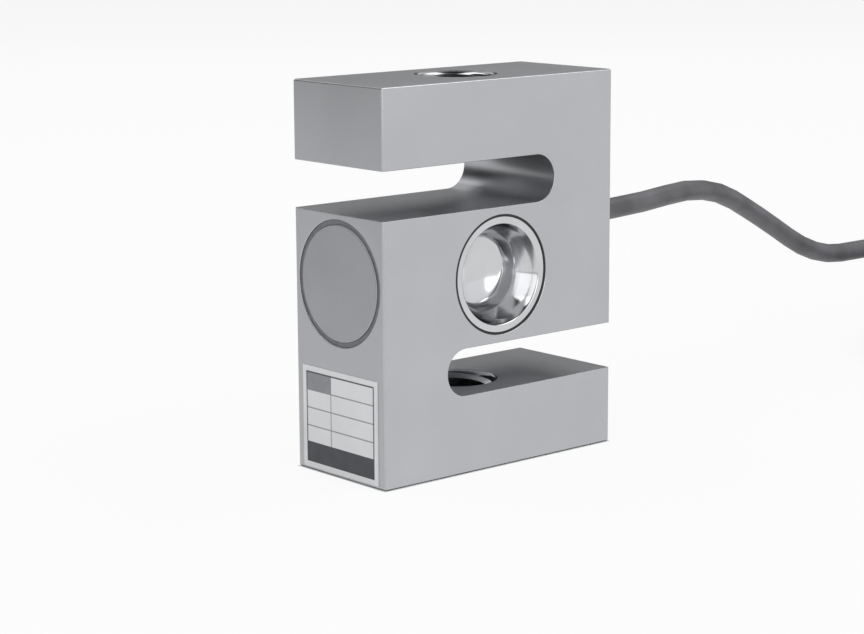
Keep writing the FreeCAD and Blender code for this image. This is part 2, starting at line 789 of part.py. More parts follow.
def build_hank():
    """The hank's outer shape, square on the side where the cable goes in and comes out."""
    hank = add_part("PartDesign::Body", "cable_hank")
    sketch = new_sketch(hank, "XY_Plane", "tie_thickness")
    low, high = f"hank_axis - {HANK_OUTER}", f"hank_axis + {HANK_OUTER}"
    outline = [("hank_start", low), (HANK_RIGHT, low), (HANK_RIGHT, high), ("hank_start", high)]
    draw_outline(sketch, outline, {1: (HANK_RIGHT, True)})
    low, high = f"hank_axis - {HANK_INNER}", f"hank_axis + {HANK_INNER}"
    eye = [(HANK_LEFT, low), (HANK_RIGHT, low), (HANK_RIGHT, high), (HANK_LEFT, high)]
    draw_outline(sketch, eye, {1: (HANK_RIGHT, True), 3: (HANK_LEFT, True)})
    add_pad(hank, sketch, HANK_HEIGHT)
    top = f"(tie_thickness + {HANK_HEIGHT})"
    start_x, levels = value("hank_start"), (value("tie_thickness"), value(top))

    def is_rounded(edge):
        on_level = any(lies_at(edge, "z", level) for level in levels)
        return on_level and not lies_at(edge, "x", start_x)

    add_edge_work(hank, "Fillet", CABLE_RADIUS, is_rounded)
    build_ties(top)


def build_ties(top):
    """A flat tie round each straight side of the hank, rounded as the cable is."""
    sides = {
        "front_tie": (f"hank_axis - {HANK_OUTER}", f"hank_axis - {HANK_INNER}"),
        "rear_tie": (f"hank_axis + {HANK_INNER}", f"hank_axis + {HANK_OUTER}"),
    }
    for label, (near_y, far_y) in sides.items():
        tie = add_part("PartDesign::Body", label)
        sketch = new_sketch(tie, "YZ_Plane")
        wider = (f"{near_y} - tie_thickness", f"{far_y} + tie_thickness")
        draw_box(sketch, *wider, "0", f"{top} + tie_thickness")
        draw_box(sketch, near_y, far_y, "tie_thickness", top)
        add_pad(tie, sketch, "tie_width", symmetric=True)
        corners = {f"{CABLE_RADIUS} + tie_thickness": wider, CABLE_RADIUS: (near_y, far_y)}
        for radius, walls in corners.items():
            places = [value(wall) for wall in walls]

            def is_corner(edge):
                return runs_along_x(edge) and any(lies_at(edge, "y", wall) for wall in places)

            add_edge_work(tie, "Fillet", radius, is_corner)
        place(tie, x=f"{HANK_LEFT} + hank_straight / 2")


def build_free_end():
    """The cable's free end on the floor: a sleeve, four cores, a drain wire and bare tips."""
    start = Vector(
        value("hank_start"),
        value(f"hank_axis - {HANK_OUTER} + {CABLE_RADIUS}"),
        value(f"tie_thickness + {CABLE_RADIUS}"),
    )
    backward = Vector(-1, 0, 0)
    sleeve_length = value("sleeve_length")
    sleeve = Part.makeCylinder(value("sleeve_diameter / 2"), sleeve_length, start, backward)
    solid_part("end_sleeve", sleeve)

    base = start + backward * sleeve_length
    straight, slope = value("flying_lead_straight"), value("flying_lead_slope")
    pitch, fan = value("flying_lead_pitch"), value("flying_lead_fan")
    tips = []

    def lead_points(shift, across, thickness):
        first = base + shift
        second = first + backward * straight
        third = Vector(second.x - slope, base.y + across, thickness / 2)
        return [first, second, third, third + backward * slope]

    thickness = value("flying_lead_diameter")
    for colour, (a, b) in CORES.items():
        points = lead_points(Vector(0, a * pitch, b * pitch), FAN_STEPS[colour] * fan, thickness)
        lead, _, _ = round_wire(points, thickness)
        solid_part(f"flying_lead_{colour}", lead)
        tip = Part.makeCylinder(value("tip_diameter / 2"), value("tip_length"), points[-1], backward)
        tips.append(tip)
    solid_part("lead_tips", Part.Compound(tips))
    drain = value("drain_diameter")
    wire, _, _ = round_wire(lead_points(Vector(), 0.0, drain), drain)
    solid_part("drain_wire", wire)


def write_parts():
    """Checks every object and writes each sub-part to its own file."""
    doc.recompute()
    for item in doc.Objects:
        if "Invalid" in item.State or "Error" in item.State:
            raise RuntimeError(f"{item.Label}: {item.State}")
    os.makedirs("parts", exist_ok=True)
    for part in sub_parts:
        shape = part.Shape
        if shape.isNull() or not shape.isValid() or shape.Volume <= 0:
            raise RuntimeError(f"{part.Label}: no sound shape")
        shape.exportStep(f"parts/{part.Label}.step")
        print(f"{part.Label}: {len(shape.Solids)} solid(s), {shape.Volume:.1f} mm3")


build_body()
for prefix, face in (("front", -1), ("rear", 1)):
    build_cup(f"{prefix}_cup", face)
    build_cup_seal(f"{prefix}_cup_seal", face)
    build_gauge(f"{prefix}_strain_gauge", face)
    build_gauge_leads(f"{prefix}_gauge_leads", face)
build_side_cover()
build_label_plate()
build_board()
build_resistors()
build_inner_cores()
build_gland()
build_cable_run()
build_hank()
build_free_end()
write_parts()
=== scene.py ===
"""Looks of an S-beam weighing load cell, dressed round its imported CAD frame.

Lengths are in millimetres, in the CAD frame, and are turned to metres where a mesh is made.
The front is -Y, the label and the cover are on -X, and the cable leaves on +X.
"""

import json
import logging
import math
from dataclasses import dataclass, field
from enum import Enum

import bmesh
import bpy
import numpy as np
from mathutils import Matrix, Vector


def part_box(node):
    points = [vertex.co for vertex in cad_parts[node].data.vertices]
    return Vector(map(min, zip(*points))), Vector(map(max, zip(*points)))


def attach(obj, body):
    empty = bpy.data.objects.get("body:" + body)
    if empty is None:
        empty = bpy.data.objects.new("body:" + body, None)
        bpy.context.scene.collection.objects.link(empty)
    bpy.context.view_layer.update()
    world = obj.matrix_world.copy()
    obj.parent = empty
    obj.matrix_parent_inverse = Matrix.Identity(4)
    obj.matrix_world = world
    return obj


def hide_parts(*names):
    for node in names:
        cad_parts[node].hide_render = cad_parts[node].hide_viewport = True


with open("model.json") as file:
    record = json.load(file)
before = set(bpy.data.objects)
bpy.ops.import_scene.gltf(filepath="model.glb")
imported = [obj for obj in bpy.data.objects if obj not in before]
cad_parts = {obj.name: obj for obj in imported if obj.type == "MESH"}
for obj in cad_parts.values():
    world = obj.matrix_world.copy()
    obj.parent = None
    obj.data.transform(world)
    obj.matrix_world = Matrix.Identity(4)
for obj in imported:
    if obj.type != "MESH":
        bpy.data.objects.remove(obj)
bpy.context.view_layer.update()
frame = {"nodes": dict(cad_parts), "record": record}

MM = 0.001
MERGE_MM = 0.0005
FLAT_ANGLE = math.radians(0.3)
SOFT_EDGE = math.radians(50.0)
FACE_WEIGHT = 80
# Nearly all values of a noise texture lie in this span
NOISE_SPAN = (0.3, 0.7)
PATCH_DETAIL = 3.0
GRAIN_DETAIL = 2.0
BODY = "root"
RUBBED_EDGE = "rubbed_edge"

Triple = tuple[float, float, float]
log = logging.getLogger("load_cell")


class Slot(Enum):
    """The record's material slots."""

    NICKEL_STEEL = "nickel_steel"
    POLISHED_STEEL = "polished_steel"
    COVER_STEEL = "cover_steel"
    SEALANT = "sealant"
    GREY_SEALANT = "grey_sealant"
    LABEL_FILM = "label_film"
    GAUGE_FOIL = "gauge_foil"
    BARE_WIRE = "bare_wire"
    FOAM_PAD = "foam_pad"
    CIRCUIT_BOARD = "circuit_board"
    SOLDER = "solder"
    RESISTOR_BODY = "resistor_body"
    GROMMET_RUBBER = "grommet_rubber"
    PLATED_BRASS = "plated_brass"
    CABLE_JACKET = "cable_jacket"
    TIE_PLASTIC = "tie_plastic"
    SHRINK_SLEEVE = "shrink_sleeve"
    CORE_RED = "core_red"
    CORE_BLACK = "core_black"
    CORE_GREEN = "core_green"
    CORE_WHITE = "core_white"


class Ink(Enum):
    """What a cell of the label carries; the value is its material's place on the piece."""

    NONE = 0
    DARK = 1
    GREY = 2


class Face(Enum):
    """The faces of the block that hold a cup; the value is the way that the face looks along Y."""

    FRONT = -1.0
    REAR = 1.0


def linear(colour: str) -> tuple[float, float, float, float]:
    """Turns an sRGB hex colour to linear light, by the standard's own curve.

    Args:
        colour: six hex digits after a hash sign.

    Returns:
        Red, green, blue and an alpha of one.
    """
    parts = np.array([int(colour[start:start + 2], 16) for start in (1, 3, 5)]) / 255.0
    light = np.where(parts <= 0.04045, parts / 12.92, ((parts + 0.055) / 1.055) ** 2.4)
    return (*light.tolist(), 1.0)


def smooth_step(share: np.ndarray) -> np.ndarray:
    """Eases shares of 0 to 1 in and out: three times the square less twice the cube."""
    return share * share * (3.0 - 2.0 * share)


def add_node(tree: bpy.types.NodeTree, kind: str, settings: dict | None = None,
             inputs: dict | None = None) -> bpy.types.Node:
    """Adds one shader node with its settings and links.

    Args:
        tree: the node tree that takes the node.
        kind: the node's type in Blender.
        settings: attributes of the node, by name.
        inputs: a value, or a socket to link from, by the input's name or number.

    Returns:
        The new node.
    """
    node = tree.nodes.new(kind)
    for name, setting in (settings or {}).items():
        setattr(node, name, setting)
    for key, source in (inputs or {}).items():
        if isinstance(source, bpy.types.NodeSocket):
            tree.links.new(source, node.inputs[key])
        else:
            node.inputs[key].default_value = source
    return node


@dataclass(frozen=True)
class Finish:
    """A material as it is made, with a blotchy colour and a fine relief.

    The colour wanders between two shades over patches of one size, and a finer noise, which
    may be longer along an axis, swings the roughness and lifts the surface. The sizes of the
    patches and the grains and the height of the relief are in millimetres.
    """

    name: str
    colour: str
    shade: str
    metallic: float = 0.0
    roughness: float = 0.5
    ior: float | None = None
    patch: float = 6.0
    grain: Triple = (0.3, 0.3, 0.3)
    relief: float = 0.002
    roughness_swing: float = 0.05

    def material(self) -> bpy.types.Material:
        """Gives the finish's material, made on first use.

        Returns:
            The material.
        """
        made = bpy.data.materials.get(self.name)
        if made:
            return made
        made = bpy.data.materials.new(self.name)
        made.use_nodes = True
        tree = made.node_tree
        tree.nodes.clear()
        place = add_node(tree, "ShaderNodeTexCoord").outputs["Object"]
        height = self.grain_height(tree, place)
        bump = add_node(tree, "ShaderNodeBump", inputs={
            "Height": height, "Strength": 1.0, "Distance": self.relief * MM})
        values = {"Base Color": self.base_colour(tree, place), "Metallic": self.metallic,
                  "Roughness": self.dullness(tree, place, height),
                  "Normal": bump.outputs["Normal"]}
        if self.ior is not None:
            values["IOR"] = self.ior
        shader = add_node(tree, "ShaderNodeBsdfPrincipled", inputs=values)
        add_node(tree, "ShaderNodeOutputMaterial", inputs={"Surface": shader.outputs["BSDF"]})
        return made

    def base_colour(self, tree: bpy.types.NodeTree,
                    place: bpy.types.NodeSocket) -> bpy.types.NodeSocket:
        """Makes the colour that wanders between the two shades.

        Args:
            tree: the material's node tree.
            place: Object coordinates in metres.

        Returns:
            The colour's socket.
        """
        noise = add_node(tree, "ShaderNodeTexNoise", inputs={
            "Vector": place, "Scale": 1.0 / (self.patch * MM), "Detail": PATCH_DETAIL})
        share = add_node(tree, "ShaderNodeMapRange", inputs={
            "Value": noise.outputs["Fac"], "From Min": NOISE_SPAN[0], "From Max": NOISE_SPAN[1]})
        blend = add_node(tree, "ShaderNodeMix", {"data_type": "RGBA"}, {
            0: share.outputs["Result"], 6: linear(self.colour), 7: linear(self.shade)})
        return blend.outputs[2]

    def dullness(self, tree: bpy.types.NodeTree, place: bpy.types.NodeSocket,
                 height: bpy.types.NodeSocket) -> bpy.types.NodeSocket:
        """Makes the roughness, which swings with the fine relief.

        Args:
            tree: the material's node tree.
            place: Object coordinates in metres; not used here, only read by a finish that differs
                from place to place.
            height: the fine relief.

        Returns:
            The roughness's socket.
        """
        swing = add_node(tree, "ShaderNodeMapRange", inputs={
            "Value": height, "From Min": NOISE_SPAN[0], "From Max": NOISE_SPAN[1],
            "To Min": self.roughness - self.roughness_swing,
            "To Max": self.roughness + self.roughness_swing})
        return swing.outputs["Result"]

    def grain_height(self, tree: bpy.types.NodeTree,
                     place: bpy.types.NodeSocket) -> bpy.types.NodeSocket:
        """Makes the fine relief, a noise whose grains have the finish's size along each axis.

        Args:
            tree: the material's node tree.
            place: Object coordinates in metres.

        Returns:
            The height's socket, about 0 to 1.
        """
        scale = tuple(1.0 / (size * MM) for size in self.grain)
        grains = add_node(tree, "ShaderNodeMapping", inputs={"Vector": place, "Scale": scale})
        noise = add_node(tree, "ShaderNodeTexNoise", inputs={
            "Vector": grains.outputs["Vector"], "Scale": 1.0, "Detail": GRAIN_DETAIL})
        return noise.outputs["Fac"]


@dataclass(frozen=True)
class SpunFinish(Finish):
    """A finish whose fine marks run in rings round an axis along Y."""

    centre: Triple = (0.0, 0.0, 32.0)
    ring: float = 0.25

    def grain_height(self, tree: bpy.types.NodeTree,
                     place: bpy.types.NodeSocket) -> bpy.types.NodeSocket:
        """Makes the rings, a noise of the distance from the axis alone.

        Args:
            tree: the material's node tree.
            place: Object coordinates in metres.

        Returns:
            The height's socket, about 0 to 1.
        """
        shift = tuple(-part * MM for part in self.centre)
        flat = add_node(tree, "ShaderNodeMapping", inputs={
            "Vector": place, "Location": shift, "Scale": (1.0, 0.0, 1.0)})
        reach = add_node(tree, "ShaderNodeVectorMath", {"operation": "LENGTH"}, {
            0: flat.outputs["Vector"]})
        noise = add_node(tree, "ShaderNodeTexNoise", {"noise_dimensions": "1D"}, {
            "W": reach.outputs["Value"], "Scale": 1.0 / (self.ring * MM), "Detail": GRAIN_DETAIL})
        return noise.outputs["Fac"]


@dataclass(frozen=True)
class BlockFinish(Finish):
    """A finish that shines more sharply in the tapped holes and on the rubbed edges.

    A point is in a tapped hole where it is nearer to the Z axis than the bore's radius, and
    further from the middle height than the start of a bar.
    """

    bore: float = 6.85
    middle: float = 32.0
    bar_start: float = 18.9
    sharp_roughness: float = 0.2

    def dullness(self, tree: bpy.types.NodeTree, place: bpy.types.NodeSocket,
                 height: bpy.types.NodeSocket) -> bpy.types.NodeSocket:
        """Makes the roughness: the faces' own, and a lower one in the holes and on the edges.

        Args:
            tree: the material's node tree.
            place: Object coordinates in metres.
            height: the fine relief.

        Returns:
            The roughness's socket.
        """
        faces = super().dullness(tree, place, height)
        flat = add_node(tree, "ShaderNodeMapping", inputs={
            "Vector": place, "Scale": (1.0, 1.0, 0.0)})
        reach = add_node(tree, "ShaderNodeVectorMath", {"operation": "LENGTH"}, {
            0: flat.outputs["Vector"]})
        bore = add_node(tree, "ShaderNodeMath", {"operation": "LESS_THAN"}, {
            0: reach.outputs["Value"], 1: self.bore * MM})
        rise = add_node(tree, "ShaderNodeSeparateXYZ", inputs={0: place})
        bars = add_node(tree, "ShaderNodeMath", {"operation": "COMPARE"}, {
            0: rise.outputs[2], 1: self.middle * MM, 2: self.bar_start * MM})
        hole = add_node(tree, "ShaderNodeMath", {"operation": "GREATER_THAN"}, {
            0: bore.outputs[0], 1: bars.outputs[0]})
        edge = add_node(tree, "ShaderNodeAttribute", {"attribute_name": RUBBED_EDGE})
        both = add_node(tree, "ShaderNodeMath", {"operation": "MAXIMUM"}, {
            0: hole.outputs[0], 1: edge.outputs["Fac"]})
        blend = add_node(tree, "ShaderNodeMix", {"data_type": "FLOAT"}, {
            0: both.outputs[0], 2: faces, 3: self.sharp_roughness})
        return blend.outputs[0]


# The finish of each slot, from what the real surface is and how it was made
FINISHES: dict[Slot, Finish] = {
    # Ground alloy steel under satin nickel: an even pale grey that blurs what it mirrors.
    # The grinding lines are finer than this; they are drawn coarser so that they show.
    # The threads were cut, and the edges of the front and the back rubbed, after that: both shine.
    Slot.NICKEL_STEEL: BlockFinish("satin_nickel_on_ground_steel", "#b8b9bc", "#b3b4b7", 1.0, 0.4,
                                   patch=14.0, grain=(2.5, 0.22, 0.22), relief=0.0006,
                                   roughness_swing=0.03),
    # Bright drawn stainless sheet: a mirror with faint rings from the drawing die.
    Slot.POLISHED_STEEL: SpunFinish("bright_drawn_stainless", "#cdced0", "#c7c8ca", 1.0, 0.13,
                                    patch=4.0, relief=0.0004, roughness_swing=0.03),
    # Satin stainless disc, turned and then rubbed: duller than the ground faces.
    Slot.COVER_STEEL: Finish("satin_stainless_disc", "#adaeb1", "#a7a8ab", 1.0, 0.45,
                             patch=9.0, grain=(0.25, 0.25, 0.25), relief=0.0006,
                             roughness_swing=0.04),
    # Dark silicone in the seams: smooth skin, nearly black, a soft shine.
    Slot.SEALANT: Finish("dark_silicone_sealant", "#1a1a1b", "#232324", 0.0, 0.38, 1.41,
                         patch=2.0, grain=(0.6, 0.6, 0.6), relief=0.02),
    # Grey epoxy, wiped flush in the groove round the cover: dull, a shade darker than the steel.
    Slot.GREY_SEALANT: Finish("grey_epoxy_sealant", "#828386", "#77787b", 0.0, 0.6, 1.55,
                              patch=1.5, grain=(0.3, 0.3, 0.3), relief=0.01),
    # Matt white polyester film: pale and even, with a fine tooth.
    Slot.LABEL_FILM: Finish("matt_white_polyester_film", "#eeeff0", "#e8e9ea", 0.0, 0.42, 1.6,
                            patch=5.0, grain=(0.2, 0.2, 0.2), relief=0.001),
    # Constantan foil on amber polyimide: the film's colour leads, with a glossy face.
    Slot.GAUGE_FOIL: Finish("foil_on_amber_polyimide", "#b4802f", "#8f6324", 0.0, 0.3, 1.7,
                            patch=1.2, grain=(0.15, 0.15, 0.15), relief=0.004),
    # Tinned copper wire: a soft white metal, drawn lines along it too fine to see.
    Slot.BARE_WIRE: Finish("tinned_copper_wire", "#c9c7c0", "#bdbab2", 1.0, 0.3,
                           patch=1.5, grain=(0.2, 0.2, 0.2), relief=0.003),
    # Neoprene foam: dull dark grey with open cells.
    Slot.FOAM_PAD: Finish("neoprene_foam", "#3c3d40", "#2d2e30", 0.0, 0.9, 1.5,
                          patch=1.0, grain=(0.4, 0.4, 0.4), relief=0.08),
    # Glass-epoxy board under green solder mask: glossy, with the weave just showing.
    Slot.CIRCUIT_BOARD: Finish("green_solder_mask", "#1f5a38", "#18482c", 0.0, 0.3, 1.55,
                               patch=1.5, grain=(0.5, 0.5, 0.5), relief=0.01),
    # Tin-lead solder: bright where it flowed, frosty where it set.
    Slot.SOLDER: Finish("tin_solder", "#cfcfcb", "#b7b7b2", 1.0, 0.28,
                        patch=0.5, grain=(0.15, 0.15, 0.15), relief=0.01),
    # Chip resistor under black glaze with a dull body.
    Slot.RESISTOR_BODY: Finish("glazed_chip_resistor", "#1d1d20", "#2a2a2e", 0.0, 0.35, 1.5,
                               patch=0.8, grain=(0.2, 0.2, 0.2), relief=0.004),
    # Moulded nitrile rubber: black, dull, a little dusty.
    Slot.GROMMET_RUBBER: Finish("moulded_nitrile_rubber", "#1c1c1d", "#262627", 0.0, 0.7, 1.52,
                                patch=2.0, grain=(0.3, 0.3, 0.3), relief=0.01),
    # Turned brass under bright nickel: warmer and sharper than the satin block.
    Slot.PLATED_BRASS: Finish("bright_nickel_on_brass", "#c4c0b8", "#bab5ac", 1.0, 0.22,
                              patch=3.0, grain=(0.12, 0.8, 0.8), relief=0.001,
                              roughness_swing=0.04),
    # Extruded PVC jacket: mid grey, satin, with a slight orange-peel.
    Slot.CABLE_JACKET: Finish("extruded_grey_pvc", "#6b6b6f", "#505053", 0.0, 0.48, 1.53,
                              patch=7.0, grain=(0.5, 0.5, 0.5), relief=0.012),
    # Moulded nylon: black, satin, with a fine spark-eroded tooth.
    Slot.TIE_PLASTIC: Finish("moulded_black_nylon", "#1f1f20", "#29292a", 0.0, 0.45, 1.53,
                             patch=3.0, grain=(0.35, 0.35, 0.35), relief=0.008),
    # Heat-shrunk polyolefin: black, dull, drawn tight.
    Slot.SHRINK_SLEEVE: Finish("heat_shrunk_polyolefin", "#202021", "#2b2b2c", 0.0, 0.55, 1.5,
                               patch=2.5, grain=(1.2, 0.4, 0.4), relief=0.015),
    # Extruded PVC cores, dyed right through: smooth and slightly glossy.
    Slot.CORE_RED: Finish("red_pvc_core", "#b3202a", "#9c1a23", 0.0, 0.4, 1.53,
                          patch=2.0, grain=(0.4, 0.4, 0.4), relief=0.004),
    Slot.CORE_BLACK: Finish("black_pvc_core", "#1b1b1c", "#262627", 0.0, 0.4, 1.53,
                            patch=2.0, grain=(0.4, 0.4, 0.4), relief=0.004),
    Slot.CORE_GREEN: Finish("green_pvc_core", "#1f7a3d", "#1a6633", 0.0, 0.4, 1.53,
                            patch=2.0, grain=(0.4, 0.4, 0.4), relief=0.004),
    Slot.CORE_WHITE: Finish("white_pvc_core", "#dddcd6", "#d0cfc8", 0.0, 0.4, 1.53,
                            patch=2.0, grain=(0.4, 0.4, 0.4), relief=0.004),
}

# Screen-printed inks on the label film: dull, slightly uneven in strength
INK_FINISHES: dict[Ink, Finish] = {
    Ink.NONE: FINISHES[Slot.LABEL_FILM],
    Ink.DARK: Finish("dark_screen_ink", "#4a4b50", "#404146", 0.0, 0.5, 1.5,
                     patch=2.5, grain=(0.15, 0.15, 0.15), relief=0.002),
    Ink.GREY: Finish("grey_screen_ink", "#98999d", "#8e8f93", 0.0, 0.5, 1.5,
                     patch=2.5, grain=(0.15, 0.15, 0.15), relief=0.002),
}


def new_piece(name: str, mesh: bpy.types.Mesh, slot: Slot, *nodes: str) -> bpy.types.Object:
    """Puts a finished mesh in the scene as a piece of the object and dresses it.

    Args:
        name: the piece's name.
        mesh: its mesh, in place.
        slot: the material slot whose finish it takes.
        nodes: the CAD nodes it stands for.

    Returns:
        The new object, at the origin.
    """
    piece = bpy.data.objects.new(name, mesh)
    bpy.context.scene.collection.objects.link(piece)
    if not mesh.materials:
        mesh.materials.append(FINISHES[slot].material())
    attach(piece, BODY)
    if nodes:
        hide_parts(*nodes)
    log.info("piece %s, %d faces", name, len(mesh.polygons))
    return piece


def raw_grid(name: str, points: np.ndarray, wrap_rows: bool = False,
             wrap_columns: bool = False) -> bpy.types.Mesh:
    """Makes a mesh of four-sided faces from a grid of points.

    Face (i, j) joins the points (i, j), (i, j + 1), (i + 1, j + 1) and (i + 1, j), and a wrapped
    direction joins its last points to its first.

    Args:
        name: the mesh's name.
        points: rows, columns and three coordinates, in millimetres.
        wrap_rows: whether the last row joins the first.
        wrap_columns: whether the last column joins the first.

    Returns:
        The mesh, in metres.
    """
    rows, columns = points.shape[:2]
    row, column = np.meshgrid(np.arange(rows - (not wrap_rows)),
                              np.arange(columns - (not wrap_columns)), indexing="ij")
    row_next, column_next = (row + 1) % rows, (column + 1) % columns
    corners = [row * columns + column, row * columns + column_next,
               row_next * columns + column_next, row_next * columns + column]
    faces = np.stack(corners, axis=-1).reshape(-1, 4)
    mesh = bpy.data.meshes.new(name)
    mesh.from_pydata((points.reshape(-1, 3) * MM).tolist(), [], faces.tolist())
    return mesh


def grid_mesh(name: str, points: np.ndarray, wrap_rows: bool = False,
              wrap_columns: bool = False) -> bpy.types.Mesh:
    """Makes a finished surface from a grid: poles and seams merged, faces turned outwards.

    Args:
        name: the mesh's name.
        points: rows, columns and three coordinates, in millimetres.
        wrap_rows: whether the last row joins the first.
        wrap_columns: whether the last column joins the first.

    Returns:
        The mesh, in metres, smooth with sharp edges kept.
    """
    mesh = raw_grid(name, points, wrap_rows, wrap_columns)
    work = bmesh.new()
    work.from_mesh(mesh)
    bmesh.ops.remove_doubles(work, verts=work.verts, dist=MERGE_MM * MM)
    bmesh.ops.recalc_face_normals(work, faces=work.faces)
    work.to_mesh(mesh)
    work.free()
    mesh.shade_smooth()
    mesh.set_sharp_from_angle(angle=SOFT_EDGE)
    return mesh


def fine_copy(name: str, node: str, slot: Slot) -> bpy.types.Object:
    """Stands a smoothly shaded copy in for a CAD node, of the same shape.

    The copy's loose triangles are merged and its flat faces made whole, and normals weighted by
    face area turn each small chamfer into a soft break between flat faces.

    Args:
        name: the copy's name.
        node: the CAD node.
        slot: the node's material slot.

    Returns:
        The copy.
    """
    mesh = frame["nodes"][node].data.copy()
    mesh.name = name
    mesh.materials.clear()
    old_normals = mesh.attributes.get("custom_normal")
    if old_normals:
        mesh.attributes.remove(old_normals)
    work = bmesh.new()
    work.from_mesh(mesh)
    bmesh.ops.remove_doubles(work, verts=work.verts, dist=MERGE_MM * MM)
    bmesh.ops.dissolve_limit(work, angle_limit=FLAT_ANGLE, verts=work.verts, edges=work.edges)
    work.to_mesh(mesh)
    work.free()
    mesh.shade_smooth()
    mesh.set_sharp_from_angle(angle=SOFT_EDGE)
    piece = new_piece(name, mesh, slot, node)
    weighted = piece.modifiers.new("face_weights", "WEIGHTED_NORMAL")
    weighted.keep_sharp = True
    weighted.weight = FACE_WEIGHT
    return piece


@dataclass(frozen=True)
class PhotoCamera:
    """The camera at the photograph's viewing angle."""

    eye: Triple = (-247.99, -282.20, 95.89)
    azimuth: float = -40.683
    elevation: float = 10.922
    roll: float = -0.338
    lens: float = 95.33
    sensor: float = 36.0
    near: float = 10.0
    far: float = 50000.0

    def build(self) -> None:
        """Adds the camera: its back axis from azimuth and elevation, then turned by the roll."""
        turn, rise, roll = map(math.radians, (self.azimuth, self.elevation, self.roll))
        back = np.array([math.sin(turn) * math.cos(rise), -math.cos(turn) * math.cos(rise),
                         math.sin(rise)])
        right = np.array([math.cos(turn), math.sin(turn), 0.0])
        up = np.cross(back, right)
        axes = np.stack([right * math.cos(roll) + up * math.sin(roll),
                         up * math.cos(roll) - right * math.sin(roll), back], axis=1)
        pose = np.eye(4)
        pose[:3, :3] = axes
        pose[:3, 3] = np.array(self.eye) * MM
        data = bpy.data.cameras.new("photo_camera")
        data.lens, data.sensor_width = self.lens, self.sensor
        data.clip_start, data.clip_end = self.near * MM, self.far * MM
        camera = bpy.data.objects.new("photo_camera", data)
        camera.matrix_world = Matrix(pose.tolist())
        bpy.context.scene.collection.objects.link(camera)
        bpy.context.scene.camera = camera


@dataclass(frozen=True)
class SoftBox:
    """A flat soft light that looks at the load cell."""

    name: str
    place: Triple
    width: float
    height: float
    watts: float

    def build(self, target: Triple) -> None:
        """Adds the light, its own back axis turned away from the target, its sides level.

        Args:
            target: the point that it faces, in millimetres.
        """
        back = np.array(self.place) - np.array(target)
        back = back / np.linalg.norm(back)
        right = np.cross((0.0, 0.0, 1.0), back)
        right = right / np.linalg.norm(right)
        pose = np.eye(4)
        pose[:3, :3] = np.stack([right, np.cross(back, right), back], axis=1)
        pose[:3, 3] = np.array(self.place) * MM
        data = bpy.data.lights.new(self.name, "AREA")
        data.shape, data.energy = "RECTANGLE", self.watts
        data.size, data.size_y = self.width * MM, self.height * MM
        lamp = bpy.data.objects.new(self.name, data)
        lamp.matrix_world = Matrix(pose.tolist())
        bpy.context.scene.collection.objects.link(lamp)


